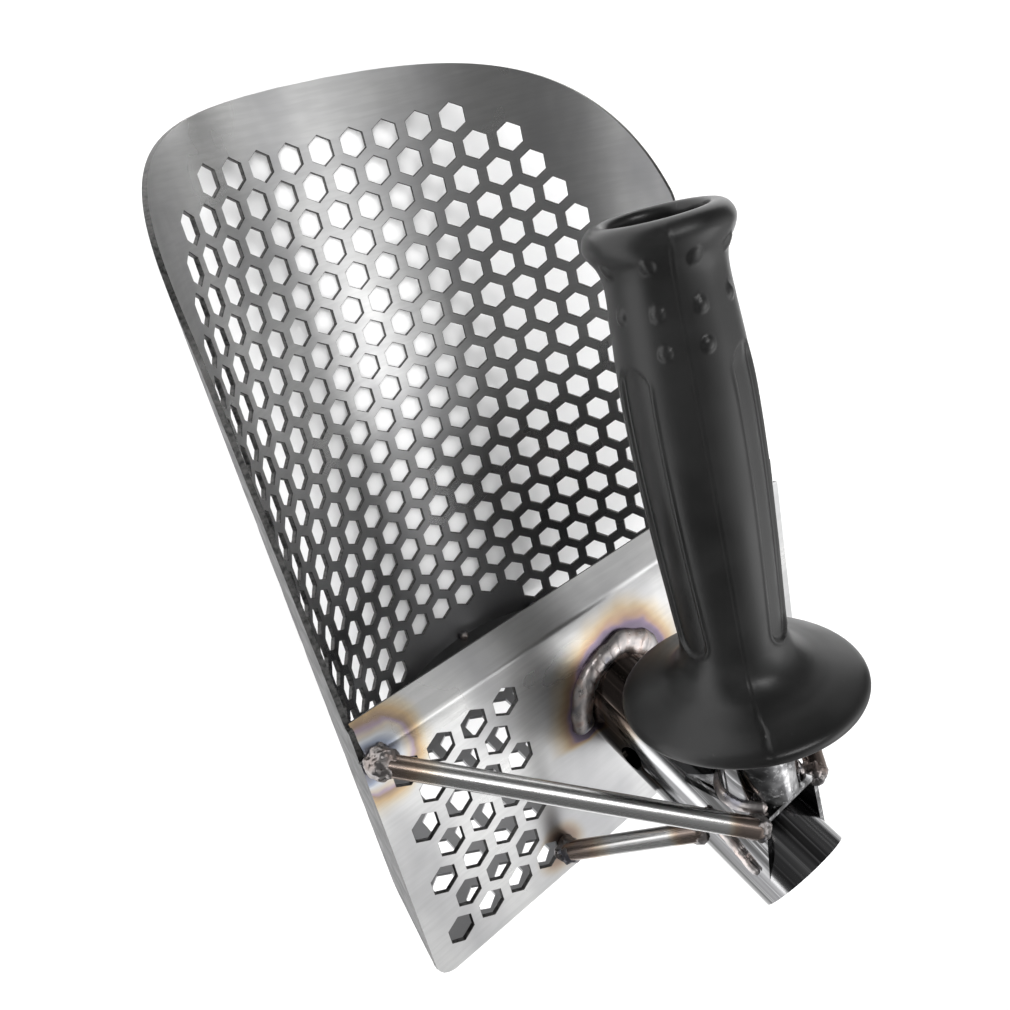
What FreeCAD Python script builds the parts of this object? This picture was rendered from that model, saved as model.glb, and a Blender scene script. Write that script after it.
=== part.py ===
"""Perforated stainless sand scoop with a socket arm and a moulded hand grip.

Frame: x across the basket, +y towards the cutting lip, +z up, millimetres.
The origin lies under the middle of the basket, on the worn flat along its belly.
"""
import FreeCAD, Part

import math
import os

from FreeCAD import Vector

os.makedirs("parts", exist_ok=True)

# ---- driving dimensions ----------------------------------------------------
SHEET = 1.5               # thickness of all the sheet metal
BASKET_LENGTH = 240.0     # cutting lip to the rear edge of the lid
BELLY_R = 82.0            # inner radius of the round belly
BELLY_HALF_ANGLE = 78.0   # degrees of arc on each side, then straight walls
LID_TOP = 93.0            # height of the flat lid's upper face
WEAR_FLAT = 0.2           # how much the belly's lowest line is worn flat

HOLE_PITCH = 11.5         # centre to centre
HOLE_WIDTH = 8.0          # across the flats of the hexagon
FIRST_ROW_FROM_LIP = 20.0
FULL_WIDTH_COLUMN = 9.0   # outermost column, in pitches from the middle
REAR_SLOPE = 20.0         # degrees that the rear wall leans from upright

# side view of the edge, as heights and setbacks behind the cutting lip
LIP_FLAT_HEIGHT = 1.0     # the lip is upright up to here
LIP_CURVE_HEIGHT = 33.0
LIP_CURVE_SETBACK = 13.5
LIP_SHOULDER_HEIGHT = 69.0
LIP_SHOULDER_SETBACK = 57.0
RIM_CURVE_HEIGHT = 79.5
RIM_CURVE_SETBACK = 106.0
RIM_END_HEIGHT = 88.0
RIM_END_SETBACK = 150.0

LID_HALF_WIDTH = 87.5
LID_FRONT_SETBACK = 148.0
LID_CORNER_R = 12.0
LID_BEND_ANGLE = 25.0
LID_FLANGE = 10.0
LID_PATCH_X = 65.0        # middle of each patch of holes, across
LID_PATCH_Y = -48.8       # its foremost row
LID_PATCH_ROWS = 7
LID_SEAM = 2.0            # leg of the corner weld under the lid

TACK_BEAD_R = 1.9
TACK_INSET = 0.5          # the tacks' centres from the corner

TUBE_R = 14.0             # socket tube, outer
TUBE_LENGTH = 71.0
TUBE_ANGLE = 62.0         # degrees above the lid, leaning to the rear
TUBE_FOOT_Y = -74.5
TUBE_END_TILT = 9.0       # degrees that the open end leans from square
BOLT_HOLE_R = 4.0
BOLT_HOLE_UP = 17.0       # from the foot, along the tube
SEAT_UP = 8.0             # from the foot to the shoulder that the shaft stops on
SEAT_LEDGE = 0.3
SOCKET_BEAD_R = 4.0

GRIP_LENGTH = 128.5
GRIP_TOP_Y = 74.0
GRIP_TOP_Z = 137.1
GRIP_SLOPE = 2.6          # degrees that the grip rises to the rear
BORE_R = 11.05
STEM_R = 11.0
STEM_WALL = 1.5
STEM_RECESS = 14.0        # from the grip's open end to the stem's end
STEM_BEAD_R = 2.2

# outline of the grip: distance from its open end, radius
GRIP_NOSE = (0.2, 13.6)
GRIP_BULGE = (3.5, 16.8)
GRIP_NECK = (12.0, 13.8)
GRIP_BODY = (42.0, 15.4)
GRIP_REAR_BODY = (80.0, 14.8)
GRIP_WAIST = (106.0, 13.6)
GRIP_FLARE = (118.0, 18.5)
GUARD_R = 33.0
GUARD_EDGE = 2.5          # thickness of the guard at its rim
GUARD_DISH = 4.0          # depth of the hollow in its rear face

BRACKET_FRONT_Y = -81.0
BRACKET_HEIGHT = 28.0
BRACKET_TOP_Z = 154.5
BRACKET_HALF_FRONT = 11.2
BRACKET_HALF_REAR = 13.6
BRACKET_FOLD_R = 2.0
CHEEK_BEAD_R = 1.8
CHEEK_BEAD_LENGTH = 20.0

ROD_R = 3.0
LEFT_ROD_LID_X = 83.5     # from the middle to each long brace's foot
RIGHT_ROD_LID_X = 62.0
ROD_LID_Y = -39.5
ROD_TOP = Vector(13.6, -82.5, 153.0)
REAR_ROD_LID = Vector(36.5, -109.5, LID_TOP + ROD_R)
REAR_ROD_TOP_Z = 131.5
FOOT_BEAD_R = 6.5
TOP_BEAD_R = 4.6
REAR_FOOT_BEAD_R = 5.4
BEAD_OFFSET = Vector(0.7, -0.5, -0.4)   # beads sit a little to one side of the rod's end

# ---- derived values ----------------------------------------------------------
FRONT_Y = BASKET_LENGTH / 2
REAR_Y = -BASKET_LENGTH / 2
OUTER_R = BELLY_R + SHEET
AXIS_Z = OUTER_R - WEAR_FLAT                      # the belly's centre line
LID_BOTTOM = LID_TOP - SHEET
ROW_STEP = HOLE_PITCH * math.sqrt(3) / 2
ARC_LENGTH = math.radians(BELLY_HALF_ANGLE) * BELLY_R
X_AXIS = Vector(1, 0, 0)
Y_AXIS = Vector(0, 1, 0)
Z_AXIS = Vector(0, 0, 1)

TUBE_DIR = Vector(0, -math.cos(math.radians(TUBE_ANGLE)), math.sin(math.radians(TUBE_ANGLE)))
TUBE_FOOT = Vector(0, TUBE_FOOT_Y, LID_TOP)
TUBE_END = TUBE_FOOT + TUBE_DIR * TUBE_LENGTH

GRIP_DIR = Vector(0, -math.cos(math.radians(GRIP_SLOPE)), math.sin(math.radians(GRIP_SLOPE)))
GRIP_TOP = Vector(0, GRIP_TOP_Y, GRIP_TOP_Z)

FAR = 400.0               # longer than the whole scoop, for cutting tools
SKIN = 0.02               # overlap that keeps a cutting tool clear of a face


def save(shape, node):
    """Write one sub-part, as a single solid or a compound of solids."""
    solids = shape.Solids
    result = solids[0] if len(solids) == 1 else Part.makeCompound(solids)
    result.exportStep(f"parts/{node}.step")
    print(f"{node}: {len(solids)} solid(s), {result.Volume / 1000:.2f} cm3")


def mirrored(shape):
    return shape.mirror(Vector(0, 0, 0), X_AXIS)


def both_sides(shape, node):
    """Save a left piece and its mirror image."""
    save(shape, node + "_left")
    save(mirrored(shape), node + "_right")


# ---- basket ------------------------------------------------------------------
def belly_point(along, depth=0.0):
    """Point and outward direction on the section, from the arc length along it.

    The length is measured on the inner face from the lowest line; depth goes outwards.
    """
    side = 1 if along >= 0 else -1
    reach = min(abs(along), ARC_LENGTH)
    angle = reach / BELLY_R
    outward = Vector(side * math.sin(angle), 0, -math.cos(angle))
    tangent = Vector(side * math.cos(angle), 0, math.sin(angle))
    start = Vector(0, 0, AXIS_Z) + outward * BELLY_R
    return start + tangent * (abs(along) - reach) + outward * depth, outward


def wall_length(depth):
    """Straight wall's length, from the end of the arc up to the lid."""
    start, outward = belly_point(ARC_LENGTH, depth)
    return (LID_BOTTOM - start.z) / math.sin(math.radians(BELLY_HALF_ANGLE))


def u_edges(depth):
    """Left wall, round belly and right wall of the section at one depth."""
    ends = {}
    for side in (-1, 1):
        ends[side] = (belly_point(side * (ARC_LENGTH + wall_length(depth)), depth)[0],
                      belly_point(side * ARC_LENGTH, depth)[0])
    bottom = belly_point(0, depth)[0]
    return [Part.makeLine(ends[-1][0], ends[-1][1]),
            Part.Arc(ends[-1][1], bottom, ends[1][1]).toShape(),
            Part.makeLine(ends[1][1], ends[1][0])]


def u_prism(inner, outer):
    """U-shaped wall between two depths, along the whole basket."""
    inside = u_edges(inner)
    outside = u_edges(outer)
    caps = [Part.makeLine(inside[0].Vertexes[0].Point, outside[0].Vertexes[0].Point),
            Part.makeLine(inside[2].Vertexes[1].Point, outside[2].Vertexes[1].Point)]
    wire = Part.Wire(Part.__sortEdges__(inside + outside + caps))
    face = Part.Face(wire)
    face.translate(Vector(0, REAR_Y - SHEET, 0))
    return face.extrude(Vector(0, BASKET_LENGTH + 2 * SHEET, 0))


def inner_prism():
    """Everything inside the U section, below the lid."""
    edges = u_edges(0.0)
    top = Part.makeLine(edges[0].Vertexes[0].Point, edges[2].Vertexes[1].Point)
    face = Part.Face(Part.Wire(Part.__sortEdges__(edges + [top])))
    face.translate(Vector(0, REAR_Y - SHEET, 0))
    return face.extrude(Vector(0, BASKET_LENGTH + 2 * SHEET, 0))


def rear_y(z):
    """Where the leaning rear end lies at a height."""
    return REAR_Y + (LID_BOTTOM - z) * math.tan(math.radians(REAR_SLOPE))


def side_view_prism():
    """Side view of the basket, as wide as needed: lip, rim line and leaning rear."""
    nose = Vector(0, FRONT_Y, LIP_FLAT_HEIGHT)
    lip_mid = Vector(0, FRONT_Y - LIP_CURVE_SETBACK, LIP_CURVE_HEIGHT)
    shoulder = Vector(0, FRONT_Y - LIP_SHOULDER_SETBACK, LIP_SHOULDER_HEIGHT)
    rim_mid = Vector(0, FRONT_Y - RIM_CURVE_SETBACK, RIM_CURVE_HEIGHT)
    rim_end = Vector(0, FRONT_Y - RIM_END_SETBACK, RIM_END_HEIGHT)
    lid_start = Vector(0, rim_end.y, LID_TOP)
    rear_top = Vector(0, rear_y(LID_TOP), LID_TOP)
    rear_low = Vector(0, rear_y(0.0), 0)
    nose_low = Vector(0, FRONT_Y, 0)
    edges = [Part.makeLine(nose_low, nose),
             Part.Arc(nose, lip_mid, shoulder).toShape(),
             Part.Arc(shoulder, rim_mid, rim_end).toShape(),
             Part.makeLine(rim_end, lid_start),
             Part.makeLine(lid_start, rear_top),
             Part.makeLine(rear_top, rear_low),
             Part.makeLine(rear_low, nose_low)]
    face = Part.Face(Part.Wire(edges))
    face.translate(Vector(-FAR / 2, 0, 0))
    return face.extrude(Vector(FAR, 0, 0))


def hexagon_tool(centre, outward, along):
    """Hexagonal punch through the sheet, two corners pointing along one direction."""
    across = outward.cross(along)
    corner_r = HOLE_WIDTH / math.sqrt(3)
    corners = []
    for k in range(6):
        angle = math.radians(60 * k)
        corners.append(centre + (along * math.cos(angle) + across * math.sin(angle)) * corner_r)
    face = Part.Face(Part.makePolygon(corners + corners[:1]))
    face.translate(outward * (-2 * SHEET))
    return face.extrude(outward * (4 * SHEET))


def row_columns(row):
    """Hole columns of one row of the belly, in pitches from the middle."""
    limit = 4.0 if row == 0 else min(FULL_WIDTH_COLUMN, 5.0 + 0.5 * row)
    offset = 0.5 * (row % 2)
    count = int(limit - offset)
    columns = [offset + k for k in range(count + 1)]
    return sorted(set(columns + [-c for c in columns]))


def belly_punches():
    punches = []
    rear_margin = HOLE_WIDTH + SHEET
    for row in range(int(BASKET_LENGTH / ROW_STEP)):
        y = FRONT_Y - FIRST_ROW_FROM_LIP - row * ROW_STEP
        for column in row_columns(row):
            point, outward = belly_point(column * HOLE_PITCH)
            if y - rear_y(point.z) < rear_margin:
                continue
            point.y = y
            punches.append(hexagon_tool(point, outward, Y_AXIS))
    return punches


def basket_shell():
    shell = u_prism(0.0, SHEET).common(side_view_prism())
    return shell.cut(Part.makeCompound(belly_punches()))


def rear_wall():
    """Leaning plate that closes the rear of the basket, with its own holes."""
    slope = math.radians(REAR_SLOPE)
    down = Vector(0, math.sin(slope), -math.cos(slope))
    forward = Vector(0, math.cos(slope), math.sin(slope))
    top = Vector(0, REAR_Y, LID_BOTTOM)
    height = LID_TOP / math.cos(slope)
    corners = [top + X_AXIS * -FAR / 2, top + X_AXIS * FAR / 2,
               top + X_AXIS * FAR / 2 + down * height, top - X_AXIS * FAR / 2 + down * height]
    slab = Part.Face(Part.makePolygon(corners + corners[:1])).extrude(forward * SHEET)
    plate = slab.common(inner_prism())
    punches = []
    rows = int(height / ROW_STEP)
    widest = int(BELLY_R / HOLE_PITCH)
    for row in range(1, rows):
        offset = 0.5 * (row % 2)
        for column in range(-widest, widest + 1):
            x = (column + offset) * HOLE_PITCH
            centre = top + down * (row * ROW_STEP) + X_AXIS * x
            if not inside_section(centre, HOLE_PITCH):
                continue
            punches.append(hexagon_tool(centre, forward, down))
    return plate.cut(Part.makeCompound(punches))


def inside_section(point, margin):
    """Whether a point is well inside the U section."""
    if point.z > AXIS_Z:
        return abs(point.x) < BELLY_R - margin and point.z < LID_BOTTOM - margin
    return math.hypot(point.x, point.z - AXIS_Z) < BELLY_R - margin


# ---- lid ---------------------------------------------------------------------
def lid_plate():
    """Flat plate on the rims, with rounded rear corners."""
    front = FRONT_Y - LID_FRONT_SETBACK - LID_FLANGE
    depth = front - REAR_Y
    plate = Part.makeBox(2 * LID_HALF_WIDTH, depth, SHEET, Vector(-LID_HALF_WIDTH, REAR_Y, LID_BOTTOM))
    corners = []
    for edge in plate.Edges:
        middle = edge.CenterOfMass
        upright = edge.Length < 2 * SHEET
        if upright and middle.y < REAR_Y + SHEET:
            corners.append(edge)
    return plate.makeFillet(LID_CORNER_R, corners)


def lid_flange():
    """Front strip of the lid, bent down between the basket's walls."""
    bend = math.radians(LID_BEND_ANGLE)
    start = FRONT_Y - LID_FRONT_SETBACK - LID_FLANGE
    tip = Vector(0, start + LID_FLANGE * math.cos(bend), LID_TOP - LID_FLANGE * math.sin(bend))
    inward = Vector(0, -math.sin(bend), -math.cos(bend)) * SHEET
    knee = Vector(0, start, LID_TOP)
    knee_low = Vector(0, start - SHEET * math.tan(bend / 2), LID_BOTTOM)
    back = Vector(0, start - 2 * SHEET, LID_TOP)
    back_low = Vector(0, start - 2 * SHEET, LID_BOTTOM)
    face = Part.Face(Part.makePolygon([back, knee, tip, tip + inward, knee_low, back_low, back]))
    half_width = belly_point(ARC_LENGTH + wall_length(0) - LID_FLANGE / 2)[0].x - SKIN
    face.translate(Vector(-half_width, 0, 0))
    return face.extrude(Vector(2 * half_width, 0, 0))


def lid_punches():
    """Two patches of holes, one on each side of the arm."""
    punches = []
    for row in range(LID_PATCH_ROWS):
        count = 4 - row % 2
        for k in range(count):
            x = LID_PATCH_X + (1.0 - k - 0.5 * (row % 2)) * HOLE_PITCH
            y = LID_PATCH_Y - row * ROW_STEP
            for side in (-1, 1):
                centre = Vector(side * x, y, LID_TOP)
                punches.append(hexagon_tool(centre, Z_AXIS, Y_AXIS))
    return punches


def back_lid():
    lid = lid_plate().fuse(lid_flange()).removeSplitter()
    return lid.cut(Part.makeCompound(lid_punches()))


def lid_seam():
    """Inner corner weld between the lid and the left wall."""
    top, outward = belly_point(-(ARC_LENGTH + wall_length(0)))
    lean = math.radians(BELLY_HALF_ANGLE)
    wall_down = Vector(math.cos(lean), 0, -math.sin(lean))
    face = Part.Face(Part.makePolygon([top, top + X_AXIS * LID_SEAM, top + wall_down * LID_SEAM, top]))
    length = LID_TOP - LID_FLANGE
    face.translate(Vector(0, REAR_Y + LID_CORNER_R / 2, 0))
    return face.extrude(Vector(0, length - LID_CORNER_R, 0))


# ---- arm ---------------------------------------------------------------------
def cylinder(start, end, radius):
    axis = end - start
    return Part.makeCylinder(radius, axis.Length, start, axis)


def solid_tube():
    """The socket tube without its bore, long at both ends."""
    return cylinder(TUBE_FOOT - TUBE_DIR * TUBE_R, TUBE_END + TUBE_DIR * TUBE_R, TUBE_R)


def tube_end_cutter():
    """Block beyond the tube's open end, which leans a little from square."""
    lean = TUBE_END_TILT + 90.0 - TUBE_ANGLE
    block = Part.makeBox(FAR, FAR, FAR, Vector(-FAR / 2, -FAR / 2, 0))
    block.rotate(Vector(0, 0, 0), X_AXIS, lean)
    block.translate(TUBE_END)
    return block


def below_lid():
    return Part.makeBox(FAR, FAR, FAR, Vector(-FAR / 2, -FAR / 2, LID_TOP - FAR))


def socket_tube():
    bore = cylinder(TUBE_FOOT + TUBE_DIR * SEAT_UP, TUBE_END + TUBE_DIR * TUBE_R, TUBE_R - SHEET)
    below_seat = cylinder(TUBE_FOOT - TUBE_DIR * 2 * TUBE_R, TUBE_END, TUBE_R - SHEET - SEAT_LEDGE)
    tube = solid_tube().cut(below_lid()).cut(tube_end_cutter()).cut(bore).cut(below_seat)
    centre = TUBE_FOOT + TUBE_DIR * BOLT_HOLE_UP
    bolt = cylinder(centre - X_AXIS * 2 * TUBE_R, centre + X_AXIS * 2 * TUBE_R, BOLT_HOLE_R)
    return tube.cut(bolt)


def socket_weld():
    """Bead round the tube's foot."""
    ring = Part.makeTorus(TUBE_R + 0.9 * SOCKET_BEAD_R, SOCKET_BEAD_R, TUBE_FOOT, Z_AXIS)
    return ring.cut(below_lid()).cut(solid_tube())


def bracket_outline(inset):
    """Plan of the folded bracket: narrow front, cheeks splayed to the tube's sides."""
    rear_y_end = TUBE_END.y
    front_half = BRACKET_HALF_FRONT - inset
    rear_half = BRACKET_HALF_REAR - inset
    front = BRACKET_FRONT_Y - inset
    points = [Vector(-rear_half, rear_y_end, 0), Vector(-front_half, front, 0),
              Vector(front_half, front, 0), Vector(rear_half, rear_y_end, 0)]
    face = Part.Face(Part.makePolygon(points + points[:1]))
    face.translate(Vector(0, 0, BRACKET_TOP_Z - BRACKET_HEIGHT))
    return face.extrude(Vector(0, 0, BRACKET_HEIGHT))


def front_corners(solid, height_over):
    """Upright edges at the front of a bracket block."""
    edges = []
    for edge in solid.Edges:
        tall = edge.Length > height_over
        ahead = edge.CenterOfMass.y > BRACKET_FRONT_Y - 2 * SHEET
        if tall and ahead and abs(edge.tangentAt(edge.FirstParameter).z) > 0.9:
            edges.append(edge)
    return edges


def stem_bracket():
    """Folded sheet box that carries the handle stem, fitted to the tube's front."""
    outside = bracket_outline(0.0)
    inside = bracket_outline(SHEET)
    outside = outside.makeFillet(BRACKET_FOLD_R, front_corners(outside, BRACKET_HEIGHT / 2))
    behind = Part.makeBox(FAR, FAR, FAR, Vector(-FAR / 2, TUBE_END.y + BRACKET_FOLD_R - FAR, 0))
    box = outside.cut(inside).cut(solid_tube()).cut(behind)
    return max(box.Solids, key=lambda solid: solid.Volume)


def bracket_weld(bracket):
    """Bead along the left cheek where it meets the tube."""
    ahead = 2 * CHEEK_BEAD_R
    start = TUBE_END - TUBE_DIR * 2 * ahead + Vector(-BRACKET_HALF_REAR - 0.3, ahead, CHEEK_BEAD_R)
    end = start - TUBE_DIR * CHEEK_BEAD_LENGTH + Vector(1.2, ahead, 0)
    bead = cylinder(start, end, CHEEK_BEAD_R)
    balls = [Part.makeSphere(CHEEK_BEAD_R, start), Part.makeSphere(CHEEK_BEAD_R, end)]
    bead = bead.fuse(balls).removeSplitter()
    bead = bead.cut(solid_tube()).cut(bracket)
    return max(bead.Solids, key=lambda solid: solid.Volume)


# ---- handle ------------------------------------------------------------------
def along_grip(distance, radius=0.0):
    """Point at a distance from the open end, raised from the grip's axis."""
    up = Vector(0, GRIP_DIR.z, -GRIP_DIR.y)
    return GRIP_TOP + GRIP_DIR * distance + up * radius


def stem_end():
    """Distance along the grip's axis to the bracket's front face."""
    return (BRACKET_FRONT_Y - GRIP_TOP.y) / GRIP_DIR.y


def bracket_face_cutter():
    return Part.makeBox(FAR, FAR, FAR, Vector(-FAR / 2, BRACKET_FRONT_Y - FAR, -FAR / 4))


def handle_stem():
    start = along_grip(STEM_RECESS)
    end = along_grip(stem_end() + STEM_R)
    stem = cylinder(start, end, STEM_R)
    bore = cylinder(start - GRIP_DIR, end + GRIP_DIR, STEM_R - STEM_WALL)
    return stem.cut(bore).cut(bracket_face_cutter())


def stem_weld():
    """Bead round the stem where it meets the bracket."""
    ring = Part.makeTorus(STEM_R + STEM_BEAD_R / 2, STEM_BEAD_R, along_grip(stem_end()), GRIP_DIR)
    stem = cylinder(along_grip(0), along_grip(GRIP_LENGTH * 2), STEM_R)
    bead = ring.cut(stem).cut(bracket_face_cutter()).cut(solid_tube())
    return max(bead.Solids, key=lambda solid: solid.Volume)


def hand_grip():
    """Moulded grip: end bulge, neck, swelling body and a wide flared guard."""
    outline = [GRIP_BULGE, GRIP_NECK, GRIP_BODY, GRIP_REAR_BODY, GRIP_WAIST, GRIP_FLARE,
               (GRIP_LENGTH - GUARD_EDGE, GUARD_R)]
    points = [along_grip(distance, radius) for distance, radius in outline]
    side = Part.BSplineCurve()
    side.interpolate(points)
    bore_start = along_grip(GRIP_NOSE[0] + 0.6, BORE_R)
    nose = Part.Arc(bore_start, along_grip(*GRIP_NOSE), points[0]).toShape()
    rim_low = along_grip(GRIP_LENGTH, GUARD_R)
    dish = along_grip(GRIP_LENGTH - GUARD_DISH, BORE_R + 1.5 * GUARD_DISH)
    bore_end = along_grip(GRIP_LENGTH - GUARD_DISH, BORE_R)
    edges = [nose, side.toShape(),
             Part.makeLine(points[-1], rim_low),
             Part.makeLine(rim_low, dish),
             Part.makeLine(dish, bore_end),
             Part.makeLine(bore_end, bore_start)]
    face = Part.Face(Part.Wire(edges))
    return face.revolve(GRIP_TOP, GRIP_DIR, 360)


# ---- braces ------------------------------------------------------------------
def brace_points(side):
    """Ends of one long brace: on the lid and at the bracket's corner; side is -1 on the left."""
    lid_x = LEFT_ROD_LID_X if side < 0 else RIGHT_ROD_LID_X
    foot = Vector(side * lid_x, ROD_LID_Y, LID_TOP + ROD_R)
    top = Vector(side * ROD_TOP.x, ROD_TOP.y, ROD_TOP.z)
    return foot, top


def rear_brace_points():
    """Ends of the short left brace: on the lid's rear and at the tube's side."""
    foot = Vector(-REAR_ROD_LID.x, REAR_ROD_LID.y, REAR_ROD_LID.z)
    axis_y = TUBE_FOOT.y + TUBE_DIR.y / TUBE_DIR.z * (REAR_ROD_TOP_Z - LID_TOP)
    return foot, Vector(-TUBE_R, axis_y - 2, REAR_ROD_TOP_Z)


def rounded_rod(start, end):
    rod = cylinder(start, end, ROD_R)
    return rod.fuse([Part.makeSphere(ROD_R, start), Part.makeSphere(ROD_R, end)]).removeSplitter()


def beyond_lid():
    """Space past the lid's left and right edges, where no weld metal runs over."""
    left = Part.makeBox(FAR, 2 * FAR, FAR, Vector(-LID_HALF_WIDTH - FAR, -FAR, 0))
    return left.fuse(mirrored(left))


def trimmed_ball(centre, size, neighbours):
    """Ball of weld metal, trimmed where it meets its neighbours."""
    ball = Part.makeSphere(size, centre)
    for neighbour in neighbours:
        ball = ball.cut(neighbour)
    return max(ball.Solids, key=lambda solid: solid.Volume)


def rod_weld(rod_end, size, neighbours):
    """Bead round a rod's end, a little to one side of it as a real one is."""
    inward = 1 if rod_end.x < 0 else -1
    offset = Vector(inward * BEAD_OFFSET.x, BEAD_OFFSET.y, BEAD_OFFSET.z)
    return trimmed_ball(rod_end + offset, size, neighbours)


def rear_tacks(shell, wall):
    """Tack welds inside the corner between the rear wall and the basket."""
    slope = math.radians(REAR_SLOPE)
    forward = Vector(0, math.cos(slope), math.sin(slope))
    spacing = ARC_LENGTH / 3.4
    tacks = []
    for step in range(-3, 4):
        point, outward = belly_point(step * spacing)
        point.y = rear_y(point.z) + SHEET / math.cos(slope)
        centre = point + (forward - outward) * TACK_INSET
        tacks.append(trimmed_ball(centre, TACK_BEAD_R, [shell, wall]))
    return Part.makeCompound(tacks)


# ---- assembly ----------------------------------------------------------------
shell = basket_shell()
wall = rear_wall()
lid = back_lid()
tube = socket_tube()
bracket = stem_bracket()
save(shell, "basket_shell")
save(wall, "rear_wall")
save(lid, "back_lid")
both_sides(lid_seam(), "lid_seam")
save(rear_tacks(shell, wall), "rear_tack_welds")

save(tube, "socket_tube")
save(socket_weld(), "socket_weld")
save(bracket, "stem_bracket")
both_sides(bracket_weld(bracket), "bracket_weld")
save(handle_stem(), "handle_stem")
save(stem_weld(), "stem_weld")
save(hand_grip(), "hand_grip")

for side, word in ((-1, "left"), (1, "right")):
    brace_foot, brace_top = brace_points(side)
    brace = rounded_rod(brace_foot, brace_top).cut(bracket).cut(solid_tube()).cut(below_lid())
    save(brace, "brace_rod_" + word)
    foot_weld = rod_weld(brace_foot, FOOT_BEAD_R, [below_lid(), beyond_lid(), brace])
    save(foot_weld, "brace_foot_weld_" + word)
    save(rod_weld(brace_top, TOP_BEAD_R, [brace, bracket, solid_tube()]), "brace_top_weld_" + word)

rear_foot, rear_top = rear_brace_points()
rear_brace = rounded_rod(rear_foot, rear_top).cut(solid_tube()).cut(below_lid())
both_sides(rear_brace, "rear_brace")
both_sides(rod_weld(rear_foot, REAR_FOOT_BEAD_R, [below_lid(), rear_brace]), "rear_brace_foot_weld")
both_sides(rod_weld(rear_top, TOP_BEAD_R, [rear_brace, solid_tube()]), "rear_brace_top_weld")
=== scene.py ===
"""Looks of the perforated sand scoop: steel finishes, heat tint, weld beads, moulded grip and studio.

Metres, in the CAD frame: x across the basket, +y to the cutting lip, +z up.
"""
import math

import bmesh
import bpy
from mathutils import Matrix, Vector, noise
from mathutils.geometry import delaunay_2d_cdt


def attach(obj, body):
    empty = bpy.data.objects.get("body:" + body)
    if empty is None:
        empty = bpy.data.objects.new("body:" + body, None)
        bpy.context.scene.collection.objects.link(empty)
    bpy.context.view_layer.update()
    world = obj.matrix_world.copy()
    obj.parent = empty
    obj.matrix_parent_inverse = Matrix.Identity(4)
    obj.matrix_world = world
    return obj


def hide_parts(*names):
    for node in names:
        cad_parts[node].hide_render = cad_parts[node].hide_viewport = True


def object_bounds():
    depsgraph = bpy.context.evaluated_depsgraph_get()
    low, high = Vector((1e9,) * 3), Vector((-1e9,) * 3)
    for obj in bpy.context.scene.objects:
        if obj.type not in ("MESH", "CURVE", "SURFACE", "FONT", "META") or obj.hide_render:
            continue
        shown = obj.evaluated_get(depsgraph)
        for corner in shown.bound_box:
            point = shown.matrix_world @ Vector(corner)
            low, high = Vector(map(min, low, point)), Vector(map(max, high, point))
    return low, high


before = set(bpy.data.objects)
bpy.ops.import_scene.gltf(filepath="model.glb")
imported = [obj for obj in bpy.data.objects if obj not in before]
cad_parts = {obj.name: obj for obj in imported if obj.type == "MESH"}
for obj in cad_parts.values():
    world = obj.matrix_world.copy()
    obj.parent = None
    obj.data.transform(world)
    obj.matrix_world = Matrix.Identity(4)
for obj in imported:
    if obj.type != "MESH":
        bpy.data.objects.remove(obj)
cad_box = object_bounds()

MM = 0.001                # one millimetre in metres

# ---- dimensions that the CAD model uses ----------------------------------------
SHEET = 1.5 * MM
FRONT_Y = cad_box[1][1]
REAR_Y = cad_box[0][1]
BELLY_R = 82.0 * MM
WEAR_FLAT = 0.2 * MM
AXIS_Z = BELLY_R + SHEET - WEAR_FLAT
BELLY_HALF_ANGLE = math.radians(78.0)
ARC_LENGTH = BELLY_R * BELLY_HALF_ANGLE
LID_TOP = 93.0 * MM
LID_BOTTOM = LID_TOP - SHEET
REAR_SLOPE = math.radians(20.0)
# side view of the lip, as millimetres behind its tip and up: nose, bulge, shoulder, rim, rim's end
LIP_SIDE_VIEW = [(0.0, 1.0), (13.5, 33.0), (57.0, 69.0), (106.0, 79.5), (150.0, 88.0)]

HOLE_PITCH = 11.5 * MM
ROW_STEP = HOLE_PITCH * math.sqrt(3) / 2
HOLE_CORNER_R = 8.0 * MM / math.sqrt(3)
FIRST_ROW = 20.0 * MM     # from the lip's tip to the first row
FIRST_ROW_COLUMN = 4.0    # outermost column of the first row, counted from the middle
FULL_WIDTH_COLUMN = 9.0
REAR_MARGIN = 9.5 * MM    # least distance from a hole's centre to the rear wall

LID_HALF_WIDTH = 87.5 * MM
LID_FRONT = FRONT_Y - 148.0 * MM
LID_FLANGE = 10.0 * MM
LID_BEND = math.radians(25.0)
LID_FOLD_R = 5.0 * MM
LID_HOLES_X = 65.0 * MM   # from the middle to the second hole of a patch's long rows
LID_HOLES_Y = -48.8 * MM  # front row of both patches
LID_HOLE_ROWS = 7

TUBE_ANGLE = math.radians(62.0)
TUBE_DIR = Vector((0, -math.cos(TUBE_ANGLE), math.sin(TUBE_ANGLE)))
TUBE_FOOT = Vector((0, -74.5 * MM, LID_TOP))
TUBE_R = 14.0 * MM
TUBE_END = TUBE_FOOT + TUBE_DIR * 71.0 * MM

GRIP_SLOPE = math.radians(2.6)
GRIP_DIR = Vector((0, -math.cos(GRIP_SLOPE), math.sin(GRIP_SLOPE)))
GRIP_UP = Vector((0, math.sin(GRIP_SLOPE), math.cos(GRIP_SLOPE)))
GRIP_LEFT = Vector((-1, 0, 0))
GRIP_TOP = Vector((0, 74.0 * MM, 137.1 * MM))
STEM_R = 11.0 * MM
BRACKET_FRONT = -81.0 * MM

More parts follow.
